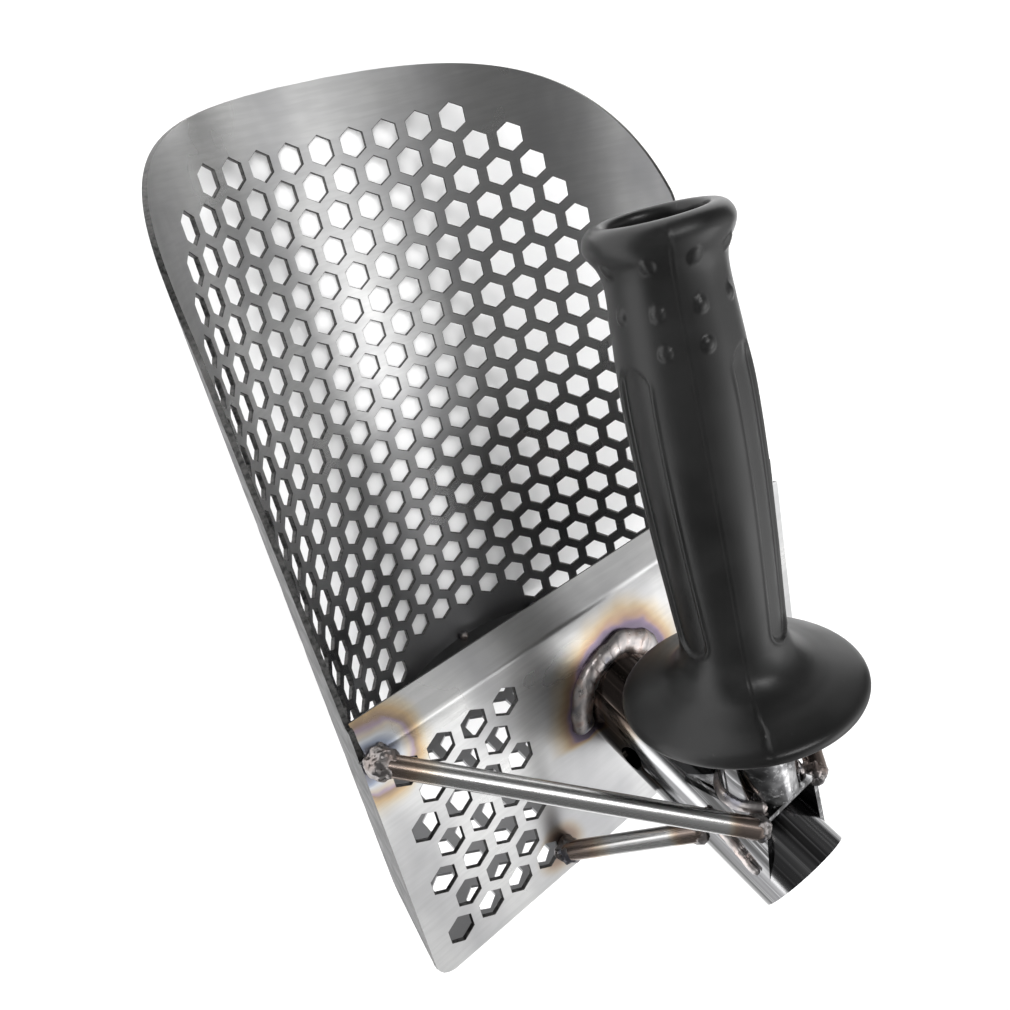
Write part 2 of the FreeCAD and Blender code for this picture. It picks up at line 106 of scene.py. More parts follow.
BRACE_FOOT = Vector((-83.5, -39.5, 96.0)) * MM
RIGHT_BRACE_FOOT = Vector((62.0, -39.5, 96.0)) * MM
BRACE_TOP = Vector((-13.6, -82.5, 153.0)) * MM
REAR_FOOT = Vector((-36.5, -109.5, 96.0)) * MM
REAR_TOP = Vector((-14.0, -96.97, 131.5)) * MM

# ---- details that only the visual has ------------------------------------------
LID_CORNER_R = 6.0 * MM
CORNER_CLIP = 3.0 * MM    # the basket's rear corners are clipped under the lid's rounded ones
HOLE_CHAMFER = 0.22 * MM  # broken edges of the holes, on both faces


def mirrored(point):
    """The same place on the right-hand side."""
    return Vector((-point.x, point.y, point.z))


def smooth(low, high, value):
    """Smooth step from 0 at low to 1 at high."""
    t = min(max((value - low) / (high - low), 0.0), 1.0)
    return t * t * (3 - 2 * t)


# ---- camera --------------------------------------------------------------------
CAMERA_PLACE = Vector((-147.0, 104.4, 275.6)) * MM
CAMERA_AIM = Vector((4.29, -18.27, 47.42)) * MM
CAMERA_ROLL = math.radians(107.554)
CAMERA_SENSOR = 36.0      # millimetres, like the lens
CAMERA_LENS = 32.11


def add_camera():
    """Camera at the photograph's viewpoint, above the front left of the basket, rolled on its side."""
    data = bpy.data.cameras.new("camera")
    data.sensor_width = CAMERA_SENSOR
    data.lens = CAMERA_LENS
    data.clip_start = 10 * MM
    camera = bpy.data.objects.new("camera", data)
    level = (CAMERA_AIM - CAMERA_PLACE).to_track_quat("-Z", "Y").to_matrix()
    turn = level @ Matrix.Rotation(CAMERA_ROLL, 3, "Z")
    camera.matrix_world = Matrix.Translation(CAMERA_PLACE) @ turn.to_4x4()
    bpy.context.collection.objects.link(camera)
    bpy.context.scene.camera = camera


# ---- material nodes ------------------------------------------------------------
class Recipe:
    """One node material, with short ways to add nodes and join them."""

    def __init__(self, name):
        self.material = bpy.data.materials.new(name)
        self.material.use_nodes = True
        self.tree = self.material.node_tree
        self.shader = self.tree.nodes["Principled BSDF"]
        self.place = self.add("ShaderNodeTexCoord").outputs["Object"]

    def add(self, kind, **settings):
        node = self.tree.nodes.new(kind)
        for name, value in settings.items():
            setattr(node, name, value)
        return node

    def put(self, value, socket):
        """Link an output into a socket, or set a constant on it."""
        if isinstance(value, bpy.types.NodeSocket):
            self.tree.links.new(value, socket)
        else:
            socket.default_value = value

    def set(self, **inputs):
        """Set the shader's inputs, named with _ in place of a space."""
        for name, value in inputs.items():
            self.put(value, self.shader.inputs[name.replace("_", " ")])

    def math(self, operation, first, second=0.0):
        node = self.add("ShaderNodeMath", operation=operation)
        self.put(first, node.inputs[0])
        self.put(second, node.inputs[1])
        return node.outputs[0]

    def vector(self, operation, first, second):
        node = self.add("ShaderNodeVectorMath", operation=operation)
        self.put(first, node.inputs[0])
        self.put(second, node.inputs[1])
        return node

    def noise(self, scale, detail=3.0, stretch=None, turn=None, distortion=0.0):
        """Noise from 0 to 1; stretch scales the place along the axes after a turn."""
        node = self.add("ShaderNodeTexNoise")
        place = self.place
        if turn is not None:
            turned = self.add("ShaderNodeMapping")
            self.put(place, turned.inputs["Vector"])
            turned.inputs["Rotation"].default_value = turn
            place = turned.outputs[0]
        if stretch is not None:
            place = self.vector("MULTIPLY", place, stretch).outputs[0]
        self.put(place, node.inputs["Vector"])
        node.inputs["Scale"].default_value = scale
        node.inputs["Detail"].default_value = detail
        node.inputs["Distortion"].default_value = distortion
        return node.outputs["Fac"]

    def span(self, value, low, high, out_low=0.0, out_high=1.0):
        """Value from low to high, mapped smoothly to an output range."""
        node = self.add("ShaderNodeMapRange", interpolation_type="SMOOTHSTEP")
        self.put(value, node.inputs["Value"])
        node.inputs["From Min"].default_value = low
        node.inputs["From Max"].default_value = high
        node.inputs["To Min"].default_value = out_low
        node.inputs["To Max"].default_value = out_high
        return node.outputs["Result"]

    def ramp(self, value, stops):
        """Colour ramp through (position, colour) stops."""
        node = self.add("ShaderNodeValToRGB")
        elements = node.color_ramp.elements
        while len(elements) < len(stops):
            elements.new(0.5)
        for element, (position, colour) in zip(elements, stops):
            element.position = position
            element.color = (*colour, 1.0)
        self.put(value, node.inputs["Fac"])
        return node.outputs["Color"]

    def mix(self, factor, first, second, blend="MIX"):
        """Blend of two colours; sockets 6 and 7 are the node's colour inputs."""
        node = self.add("ShaderNodeMix", data_type="RGBA", blend_type=blend)
        self.put(factor, node.inputs[0])
        self.put(first, node.inputs[6])
        self.put(second, node.inputs[7])
        return node.outputs[2]

    def bump(self, height, strength, distance, under=None):
        """Bumped normal, on top of another one if it is given."""
        node = self.add("ShaderNodeBump")
        self.put(height, node.inputs["Height"])
        node.inputs["Strength"].default_value = strength
        node.inputs["Distance"].default_value = distance
        if under is not None:
            self.put(under, node.inputs["Normal"])
        return node.outputs["Normal"]

    def coordinate(self, axis):
        """One coordinate of the place: "X", "Y" or "Z"."""
        parts = self.add("ShaderNodeSeparateXYZ")
        self.put(self.place, parts.inputs[0])
        return parts.outputs[axis]

    def distance_to(self, point):
        return self.vector("DISTANCE", self.place, tuple(point)).outputs["Value"]

    def distance_to_line(self, point, direction):
        """Distance to the endless line through a point."""
        away = self.vector("SUBTRACT", self.place, tuple(point)).outputs[0]
        crossed = self.vector("CROSS_PRODUCT", away, tuple(direction)).outputs[0]
        return self.vector("LENGTH", crossed, (0, 0, 0)).outputs["Value"]


# ---- heat tint -----------------------------------------------------------------
# colours by which the steel is multiplied, from a weld's edge (0) to the end of its reach (1)
NO_TINT = (1.0, 1.0, 1.0)
HEAT_TINTS = [(0.00, (0.30, 0.25, 0.33)), (0.03, (0.40, 0.31, 0.42)), (0.08, (0.60, 0.43, 0.40)),
              (0.15, (0.70, 0.49, 0.35)), (0.36, (0.88, 0.69, 0.47)), (0.62, (0.98, 0.87, 0.71)),
              (1.00, NO_TINT)]
RAINBOW_TINTS = [(0.00, (0.34, 0.34, 0.38)), (0.10, (0.52, 0.58, 0.72)), (0.20, (0.92, 0.95, 1.0)),
                 (0.32, (0.90, 0.80, 0.68)), (0.42, (0.62, 0.50, 0.60)), (0.50, (0.56, 0.42, 0.32)),
                 (0.66, (0.86, 0.64, 0.40)), (0.84, (0.98, 0.88, 0.72)), (1.00, NO_TINT)]
BROWN_TINTS = [(0.00, (0.42, 0.34, 0.30)), (0.35, (0.62, 0.48, 0.38)), (0.70, (0.88, 0.78, 0.66)),
               (1.00, NO_TINT)]


def heat_tint(recipe, colour, distance, start, reach, tints):
    """Oxide colours of a weld, from its edge outwards, uneven as heat spreads."""
    unevenness = recipe.math("SUBTRACT", recipe.noise(95, 2), 0.5)
    uneven = recipe.math("ADD", distance, recipe.math("MULTIPLY", unevenness, reach * 0.5))
    near = recipe.span(uneven, start, start + reach)
    return recipe.mix(1.0, colour, recipe.ramp(near, tints), "MULTIPLY")


def tinted(recipe, colour, spots):
    """Colour with all its heat-tinted spots, each (distance, start, reach, tints)."""
    for distance, start, reach, tints in spots:
        colour = heat_tint(recipe, colour, distance(recipe), start, reach, tints)
    return colour


def distance_from(point):
    """Distance for a spot round a point."""
    return lambda recipe: recipe.distance_to(point)


def distance_from_bead(recipe):
    """Distance from the middle of the socket's bead; large behind the tube, where it has none."""
    bead_ring_r = TUBE_R + 3.4 * MM
    no_bead = 40 * MM
    behind = recipe.span(recipe.coordinate("Y"), TUBE_FOOT.y - 14 * MM, TUBE_FOOT.y - 3 * MM, no_bead, 0.0)
    ring = recipe.math("SUBTRACT", recipe.distance_to_line(TUBE_FOOT, TUBE_DIR), bead_ring_r)
    return recipe.math("ADD", recipe.math("ABSOLUTE", ring), behind)


# ---- materials -----------------------------------------------------------------
def sheet_steel(name, spots=(), shade=False):
    """Satin rolled sheet with a cloudy sheen, soft waves and a fine grain; with shade, its colour is
    darkened to the rear as painted shade under the lid.
    """
    recipe = Recipe(name)
    clouds = recipe.noise(24, 3, distortion=0.5)
    smears = recipe.noise(45, 3, stretch=(1.0, 0.35, 1.0))
    grain = recipe.noise(700, 2, stretch=(0.10, 1.0, 0.10))
    colour = recipe.ramp(clouds, [(0.30, (0.44, 0.44, 0.45)), (0.52, (0.58, 0.58, 0.58)),
                                  (0.72, (0.70, 0.70, 0.69))])
    colour = recipe.mix(recipe.span(smears, 0.42, 0.70, 0.0, 0.45), colour, (0.78, 0.78, 0.77, 1))
    colour = recipe.mix(recipe.span(grain, 0.35, 0.65, 0.0, 0.22), colour, (0.40, 0.40, 0.40, 1))
    # painted shade: the colour darkens towards the rear, where the lid shades the basket and the rear wall
    if shade:
        painted_rear_shade = recipe.span(recipe.coordinate("Y"), -60 * MM, 45 * MM, 1.0, 0.0)
        colour = recipe.mix(painted_rear_shade, colour, (0.25, 0.25, 0.255, 1))
    rough = recipe.span(clouds, 0.3, 0.75, 0.36, 0.25)
    waves = recipe.bump(recipe.noise(17, 1.5), 0.20, 3.0 * MM)
    normal = recipe.bump(recipe.noise(60, 1.5), 0.07, 0.8 * MM, waves)
    recipe.set(Base_Color=tinted(recipe, colour, spots), Metallic=1.0, Roughness=rough, Normal=normal)
    return recipe.material


def shade_painted_outside_steel(name):
    """Rougher mill finish of the sheet's outer face, its colour painted dark as painted shade, with long
    rolling streaks and scuffs.
    """
    recipe = Recipe(name)
    streaks = recipe.noise(260, 3, stretch=(0.15, 1.0, 0.15))
    scuffs = recipe.noise(120, 4, distortion=1.0)
    # painted shade: the outer face's colour is kept far darker than the inner one; the streaks and scuffs
    # on it are wear
    colour = recipe.ramp(streaks, [(0.30, (0.08, 0.08, 0.083)), (0.70, (0.14, 0.14, 0.14))])
    colour = recipe.mix(recipe.span(scuffs, 0.60, 0.75, 0.0, 0.35), colour, (0.28, 0.28, 0.28, 1))
    rough = recipe.span(scuffs, 0.3, 0.7, 0.58, 0.46)
    normal = recipe.bump(recipe.noise(30, 2), 0.15, 2.0 * MM)
    recipe.set(Base_Color=colour, Metallic=1.0, Roughness=rough, Normal=normal)
    return recipe.material


def cut_edge(name):
    """Laser-cut edge of the sheet: dark, slightly brown, mottled."""
    recipe = Recipe(name)
    mottle = recipe.noise(900, 2)
    colour = recipe.ramp(mottle, [(0.3, (0.06, 0.06, 0.06)), (0.7, (0.18, 0.177, 0.174))])
    rough = recipe.span(mottle, 0.3, 0.7, 0.35, 0.55)
    recipe.set(Base_Color=colour, Metallic=1.0, Roughness=rough)
    return recipe.material


def polished_steel(name, spots=()):
    """Mirror-polished tube and bracket, with painted reflections: dark and bright bands along the tube,
    and fine bright streaks that are also bumped as drawn lines.
    """
    recipe = Recipe(name)
    along = (TUBE_ANGLE - math.pi / 2, 0, 0)
    painted_reflection_bands = recipe.noise(190, 2, stretch=(1.0, 1.0, 0.02), turn=along)
    streaks = recipe.noise(900, 2, stretch=(1.0, 1.0, 0.01), turn=along)
    # painted reflection: dark and bright bands along the tube stand in for what the mirror reflects
    colour = recipe.ramp(painted_reflection_bands, [(0.38, (0.06, 0.06, 0.06)), (0.50, (0.15, 0.15, 0.155)),
                                 (0.58, (0.24, 0.24, 0.245)), (0.70, (0.55, 0.55, 0.555))])
    # painted highlight: the fine drawn streaks are lightened as bright reflected lines; the bump on them
    # is real
    colour = recipe.mix(recipe.span(streaks, 0.5, 0.75, 0.0, 0.5), colour, (0.75, 0.75, 0.76, 1))
    rough = recipe.span(recipe.noise(55, 3), 0.3, 0.7, 0.06, 0.16)
    waves = recipe.bump(recipe.noise(60, 1), 0.12, 0.5 * MM)
    normal = recipe.bump(streaks, 0.05, 0.05 * MM, waves)
    recipe.set(Base_Color=tinted(recipe, colour, spots), Metallic=1.0, Roughness=rough, Normal=normal)
    return recipe.material


def rod_steel(name, start, end):
    """Drawn rod, browned by the welds at both ends."""
    recipe = Recipe(name)
    axis = (end - start).normalized()
    turn = axis.rotation_difference(Vector((0, 0, 1))).to_euler()
    streaks = recipe.noise(1400, 3, stretch=(1.0, 1.0, 0.015), turn=turn)
    colour = recipe.ramp(streaks, [(0.30, (0.52, 0.52, 0.52)), (0.70, (0.72, 0.715, 0.71))])
    browned = [(distance_from(start), 5 * MM, 13 * MM, BROWN_TINTS),
               (distance_from(end), 5 * MM, 5 * MM, BROWN_TINTS)]
    rough = recipe.span(streaks, 0.3, 0.7, 0.34, 0.22)
    normal = recipe.bump(streaks, 0.15, 0.05 * MM)
    recipe.set(Base_Color=tinted(recipe, colour, browned), Metallic=1.0, Roughness=rough, Normal=normal)
    return recipe.material


def weld_metal(name, tone=1.0):
    """Silver bead with soft pink, straw and blue oxide patches and a few dark pits; tone darkens it."""
    recipe = Recipe(name)
    patches = recipe.noise(170, 2, distortion=0.6)
    stops = [(0.28, (0.30, 0.30, 0.35)), (0.42, (0.48, 0.455, 0.45)), (0.55, (0.62, 0.57, 0.555)),
             (0.68, (0.60, 0.49, 0.445)), (0.82, (0.40, 0.33, 0.35))]
    toned = [(position, tuple(tone * part for part in shade)) for position, shade in stops]
    pits = recipe.span(recipe.noise(420, 3), 0.24, 0.36, 0.7, 0.0)
    colour = recipe.mix(pits, recipe.ramp(patches, toned), (0.10, 0.09, 0.09, 1))
    rough = recipe.span(recipe.noise(260, 2), 0.3, 0.7, 0.26, 0.46)
    normal = recipe.bump(recipe.noise(480, 2), 0.22, 0.3 * MM)
    recipe.set(Base_Color=colour, Metallic=1.0, Roughness=rough, Normal=normal)
    return recipe.material


def moulded_plastic(name):
    """Satin black moulded grip, with a fine mould texture and a few pale scuffs."""
    recipe = Recipe(name)
    cloud = recipe.noise(60, 3)
    scuffs = recipe.span(recipe.noise(500, 5, stretch=(1.0, 0.2, 1.0)), 0.70, 0.85, 0.0, 0.25)
    colour = recipe.ramp(cloud, [(0.3, (0.003, 0.003, 0.003)), (0.7, (0.007, 0.007, 0.007))])
    colour = recipe.mix(scuffs, colour, (0.10, 0.10, 0.10, 1))
    rough = recipe.span(cloud, 0.3, 0.7, 0.30, 0.40)
    soft = recipe.bump(recipe.noise(90, 2), 0.10, 0.4 * MM)
    normal = recipe.bump(recipe.noise(2600, 2), 0.12, 0.05 * MM, soft)
    recipe.set(Base_Color=colour, Roughness=rough, Normal=normal)
    return recipe.material


def floor_paint(name):
    """Pale matt floor with the slightest mottling."""
    recipe = Recipe(name)
    colour = recipe.ramp(recipe.noise(8, 2), [(0.3, (0.90, 0.90, 0.90)), (0.7, (0.94, 0.94, 0.94))])
    recipe.set(Base_Color=colour, Roughness=0.9)
    return recipe.material


# ---- mesh helpers --------------------------------------------------------------
def finished_mesh(name, shape):
    """Mesh from a bmesh, which is freed."""
    mesh = bpy.data.meshes.new(name)
    shape.to_mesh(mesh)
    shape.free()
    return mesh


def as_piece(mesh, name, materials, node):
    """Put a mesh in the scene as the piece that stands for a CAD node."""
    for material in materials:
        mesh.materials.append(material)
    piece = bpy.data.objects.new(name, mesh)
    bpy.context.collection.objects.link(piece)
    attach(piece, "root")
    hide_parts(node)


def shaded(mesh, angle=None):
    """Shade smooth, with sharp edges kept above an angle in degrees."""
    mesh.shade_smooth()
    if angle is not None:
        mesh.set_sharp_from_angle(angle=math.radians(angle))
    return mesh


def tube_mesh(name, rings, closed=False):
    """Skin over rings of points, with capped ends, or with its ends joined when closed."""
    shape = bmesh.new()
    rows = [[shape.verts.new(point) for point in ring] for ring in rings]
    pairs = list(zip(rows, rows[1:]))
    if closed:
        pairs.append((rows[-1], rows[0]))
    else:
        shape.faces.new(rows[0][::-1])
        shape.faces.new(rows[-1])
    for low, high in pairs:
        for k in range(len(low)):
            after = (k + 1) % len(low)
            shape.faces.new((low[k], low[after], high[after], high[k]))
    bmesh.ops.recalc_face_normals(shape, faces=shape.faces)
    return finished_mesh(name, shape)


# ---- perforated sheet ----------------------------------------------------------
INNER_FACE, CUT_EDGE, OUTER_FACE = range(3)     # material indices of a sheet


def hexagon(centre, radius):
    """Corners of a hexagon that points along the sheet's second direction."""
    corners = []
    for k in range(6):
        angle = math.radians(60 * k + 90)
        corners.append(Vector((centre[0] + radius * math.cos(angle),
                               centre[1] + radius * math.sin(angle))))
    return corners


def inside_polygon(point, polygon):
    """Even-odd test."""
    inside = False
    for a, b in zip(polygon, polygon[1:] + polygon[:1]):
        if (a[1] > point[1]) != (b[1] > point[1]):
            cross = a[0] + (point[1] - a[1]) * (b[0] - a[0]) / (b[1] - a[1])
            if point[0] < cross:
                inside = not inside
    return inside


def hole_finder(holes, hole_r):
    """Function that gives the hexagonal hole at a flat point, or None."""
    cells = {}
    for hole in holes:
        cell = (round(hole[0] / HOLE_PITCH), round(hole[1] / HOLE_PITCH))
        cells.setdefault(cell, []).append(hole)
    half_flat = hole_r * math.sqrt(3) / 2

    def hole_at(point, margin=0.0):
        column = round(point[0] / HOLE_PITCH)
        row = round(point[1] / HOLE_PITCH)
        for i in (-1, 0, 1):
            for j in (-1, 0, 1):
                for hole in cells.get((column + i, row + j), ()):
                    dx = abs(point[0] - hole[0])
                    dy = abs(point[1] - hole[1])
                    if max(dx, 0.5 * dx + dy * math.sqrt(3) / 2) < half_flat + margin:
                        return hole
        return None

    return hole_at


def flat_pattern(outline, holes, hole_r, hole_at, cuts):
    """Points and triangles of a flat sheet with hexagonal holes, divided along straight cuts."""
    points = []
    edges = []

    def add_loop(corners):
        first = len(points)
        points.extend(corners)
        count = len(corners)
        edges.extend((first + k, first + (k + 1) % count) for k in range(count))

    add_loop([Vector(corner) for corner in outline])
    for hole in holes:
        add_loop(hexagon(hole, hole_r))
    for start, end in cuts:
        edges.append((len(points), len(points) + 1))
        points.extend((Vector(start), Vector(end)))
    places, _, faces, *_ = delaunay_2d_cdt(points, edges, [], 0, 1e-7)
    triangles = []
    for face in faces:
        middle = sum((places[k] for k in face), Vector((0, 0))) / len(face)
        if hole_at(middle) is None and inside_polygon(middle, outline):
            triangles.append(face)
    return places, triangles


def sheet_mesh(name, outline, holes, cuts, bend):
    """Sheet of real thickness from a flat pattern; bend(across, along, depth) gives each place."""
    hole_r = HOLE_CORNER_R + HOLE_CHAMFER
    hole_at = hole_finder(holes, hole_r)
    flat, triangles = flat_pattern(outline, holes, hole_r, hole_at, cuts)
    used = sorted({k for face in triangles for k in face})
    shape = bmesh.new()
    inner = {k: shape.verts.new(bend(flat[k][0], flat[k][1], 0.0)) for k in used}
    outer = {k: shape.verts.new(bend(flat[k][0], flat[k][1], SHEET)) for k in used}
    sides = {}
    for face in triangles:
        shape.faces.new([inner[k] for k in face]).material_index = INNER_FACE
        shape.faces.new([outer[k] for k in reversed(face)]).material_index = OUTER_FACE
        for edge in zip(face, face[1:] + face[:1]):
            sides[edge] = True
    rims = [edge for edge in sides if (edge[1], edge[0]) not in sides]

    # the waist of a hole is its narrow part, between the chamfers of the two faces
    waist = {}
    for k in {k for edge in rims for k in edge}:
        hole = hole_at(flat[k], 0.02 * MM)
        if hole is not None:
            edge = Vector(hole) + (flat[k] - Vector(hole)) * HOLE_CORNER_R / hole_r
            waist[k] = (shape.verts.new(bend(edge[0], edge[1], HOLE_CHAMFER)),
                        shape.verts.new(bend(edge[0], edge[1], SHEET - HOLE_CHAMFER)))
    for first, second in rims:
        ladder_a = [inner[first], outer[first]]
        ladder_b = [inner[second], outer[second]]
        if first in waist and second in waist:
            ladder_a[1:1] = waist[first]
            ladder_b[1:1] = waist[second]
        for low_a, high_a, low_b, high_b in zip(ladder_a, ladder_a[1:], ladder_b, ladder_b[1:]):
            shape.faces.new((low_b, low_a, high_a, high_b)).material_index = CUT_EDGE
    bmesh.ops.dissolve_degenerate(shape, dist=0.004 * MM, edges=shape.edges)
    bmesh.ops.recalc_face_normals(shape, faces=shape.faces)
    mesh = shaded(finished_mesh(name, shape), 28)
    for polygon in mesh.polygons:
        is_level = abs(polygon.normal.z) >= 0.99999
        polygon.use_smooth = not is_level
    return mesh


def belly_place(across, y, depth):
    """Bend a flat point round the belly: across is the arc length, depth goes outwards."""
    side = 1 if across >= 0 else -1
    reach = min(abs(across), ARC_LENGTH)
    angle = reach / BELLY_R
    outward = Vector((side * math.sin(angle), 0, -math.cos(angle)))
    tangent = Vector((side * math.cos(angle), 0, math.sin(angle)))
    place = Vector((0, y, AXIS_Z)) + outward * (BELLY_R + depth) + tangent * (abs(across) - reach)
    place.z = max(place.z, 0.0)
    return place


def belly_across(z):
    """Arc length at which the sheet's middle reaches a height."""
    middle = BELLY_R + SHEET / 2
    turn = (AXIS_Z - z) / middle
    if turn > math.cos(BELLY_HALF_ANGLE):
        return BELLY_R * math.acos(min(turn, 1.0))
    start = AXIS_Z - middle * math.cos(BELLY_HALF_ANGLE)
    return ARC_LENGTH + (z - start) / math.sin(BELLY_HALF_ANGLE)


def rear_y(z):
    """Where the leaning rear wall is at a height."""
    return REAR_Y + (LID_BOTTOM - z) * math.tan(REAR_SLOPE)


def arc_points(first, middle, last, count):
    """Points of the circle through three points of the side view, from first to last."""
    ax, ay, bx, by, cx, cy = *first, *middle, *last
    double_area = 2 * (ax * (by - cy) + bx * (cy - ay) + cx * (ay - by))
    square_a = ax * ax + ay * ay
    square_b = bx * bx + by * by
    square_c = cx * cx + cy * cy
    centre_x = (square_a * (by - cy) + square_b * (cy - ay) + square_c * (ay - by)) / double_area
    centre_y = (square_a * (cx - bx) + square_b * (ax - cx) + square_c * (bx - ax)) / double_area
    radius = math.hypot(ax - centre_x, ay - centre_y)
    start = math.atan2(ay - centre_y, ax - centre_x)
    turn = math.atan2(cy - centre_y, cx - centre_x) - start
    turn = (turn + math.pi) % (2 * math.pi) - math.pi
    return [(centre_x + radius * math.cos(start + turn * k / count),
             centre_y + radius * math.sin(start + turn * k / count)) for k in range(count + 1)]


def basket_outline():
    """Outline of the flat pattern: its right half from the lip to the rear, then its left half."""
    nose, bulge, shoulder, rim, rim_end = [(FRONT_Y - back * MM, up * MM) for back, up in LIP_SIDE_VIEW]
    side = arc_points(nose, bulge, shoulder, 40)
    side += arc_points(shoulder, rim, rim_end, 30)[1:]
    side.append((rim_end[0], LID_BOTTOM))
    steps = 24
    for k in range(steps + 1):
        z = LID_BOTTOM + (SHEET - LID_BOTTOM) * k / steps
        clip = CORNER_CLIP * smooth(LID_BOTTOM - 2 * CORNER_CLIP, LID_BOTTOM, z)
        side.append((rear_y(z) + clip, z))
    half = [(belly_across(z), y) for y, z in side]
    return half + [(-across, y) for across, y in reversed(half)]


def basket_holes():
    """Centres of the holes: staggered rows that widen from the lip to the full width."""
    holes = []
    for row in range(int((FRONT_Y - REAR_Y) / ROW_STEP)):
        y = FRONT_Y - FIRST_ROW - row * ROW_STEP
        outermost = FIRST_ROW_COLUMN
        if row > 0:
            outermost = min(FULL_WIDTH_COLUMN, FIRST_ROW_COLUMN + 1 + 0.5 * row)
        offset = 0.5 * (row % 2)
        columns = [offset + k for k in range(int(outermost - offset) + 1)]
        for column in sorted(set(columns + [-c for c in columns])):
            across = column * HOLE_PITCH
            z = belly_place(across, y, 0.0).z
            if y - rear_y(z) >= REAR_MARGIN:
                holes.append((across, y))
    return holes


def build_basket(materials):
    """Belly and side walls, cut into narrow strips so that they bend smoothly."""
    strip = 2.0 * MM
    count = int(ARC_LENGTH / strip)
    places = [k * strip for k in range(-count, count + 1)] + [-ARC_LENGTH, ARC_LENGTH]
    cuts = [((across, REAR_Y - MM), (across, FRONT_Y + MM)) for across in places]
    mesh = sheet_mesh("basket", basket_outline(), basket_holes(), cuts, belly_place)
    as_piece(mesh, "basket", materials, "basket_shell")


def lid_place(x, along, depth):
    """Bend the lid's flat pattern down at its front; depth goes downwards."""
    knee = LID_FRONT - LID_FLANGE
    start = knee - LID_FOLD_R * math.tan(LID_BEND / 2)
    beyond = along - start
    if beyond <= 0:
        return Vector((x, along, LID_TOP - depth))
    turn = min(beyond / LID_FOLD_R, LID_BEND)
    centre = Vector((x, start, LID_TOP - LID_FOLD_R))
    down = Vector((0, -math.sin(turn), -math.cos(turn)))
    ahead = Vector((0, math.cos(turn), -math.sin(turn)))
    rest = beyond - turn * LID_FOLD_R
    return centre - down * (LID_FOLD_R - depth) + ahead * rest


def lid_outline():
    """Straight sides, rounded rear corners, and a front flange set in between the walls."""
    inner_half = abs(belly_place(belly_across(LID_TOP - LID_FLANGE / 4), 0, 0.0).x)
    knee = LID_FRONT - LID_FLANGE
    half = [(inner_half, LID_FRONT), (inner_half, knee), (LID_HALF_WIDTH, knee - 0.5 * MM)]
    centre_x = LID_HALF_WIDTH - LID_CORNER_R
    centre_y = REAR_Y + LID_CORNER_R
    steps = 12
    for k in range(steps + 1):
        angle = -math.pi / 2 * k / steps
        half.append((centre_x + LID_CORNER_R * math.cos(angle), centre_y + LID_CORNER_R * math.sin(angle)))
    return half + [(-x, y) for x, y in reversed(half)]


def lid_holes():
    """Centres of the holes in both patches: rows of four and three in turn."""
    holes = []
    for row in range(LID_HOLE_ROWS):
        short = row % 2
        for k in range(4 - short):
            x = LID_HOLES_X + (1.0 - k - 0.5 * short) * HOLE_PITCH
            y = LID_HOLES_Y - row * ROW_STEP
            holes.extend(((x, y), (-x, y)))
    return holes


def build_lid(materials):
    """Lid with its bent front flange, cut finely across the fold."""
    fold = LID_FRONT - LID_FLANGE
    width = LID_HALF_WIDTH + MM
    strip = 0.4 * MM
    cuts = [((-width, fold + k * strip), (width, fold + k * strip)) for k in range(-5, 6)]
    mesh = sheet_mesh("lid", lid_outline(), lid_holes(), cuts, lid_place)
    as_piece(mesh, "lid", materials, "back_lid")


# ---- grip: lengths in millimetres, angles in degrees from straight up to the left ----
SEAM_ANGLE = 40.0
SEAM_ANGLES = (SEAM_ANGLE, SEAM_ANGLE + 180)
PANEL_ANGLES = (SEAM_ANGLE - 57, SEAM_ANGLE + 57, SEAM_ANGLE + 123, SEAM_ANGLE - 123)
PANEL_MIDDLE = 68.0
PANEL_HALF_LENGTH = 38.5
PANEL_HALF_WIDTH = 5.2
PANEL_DEPTH = 0.95
BUMPS = [(8.5, 19), (8.5, 60), (18.6, 19), (18.6, 57), (27.0, 18)]     # along, and angle off a seam
BUMP_R = 1.75
BUMP_HEIGHT = 0.75
TEAR_ALONG = 119.0
BORE_EDGE_R = 11.6        # the outline starts inside the bore, up to this radius
GUARD_REAR = 123.5        # the rear face of the guard lies beyond this
OUTLINE_STEP = 0.45
AROUND_GRIP = 288

# outline of the grip: distance from its open end and radius
GRIP_OUTLINE = [(14.0, 11.05), (6.0, 11.05), (1.6, 11.15), (0.5, 11.7), (0.0, 12.7), (0.3, 14.4),
                (1.5, 15.9), (3.8, 16.75), (6.2, 16.1), (8.8, 14.6), (12.5, 13.75), (20.0, 14.05),
                (30.0, 14.8), (42.0, 15.4), (60.0, 15.4), (80.0, 14.8), (95.0, 14.1), (106.0, 13.7),
                (109.5, 14.2), (112.5, 15.6), (115.2, 18.4), (117.0, 22.0), (118.6, 26.0),
                (120.2, 29.6), (121.0, 30.9), (122.0, 31.7), (123.2, 31.8), (124.2, 31.2),
                (124.4, 29.6), (124.0, 20.0), (123.8, 16.0), (123.8, 11.05)]


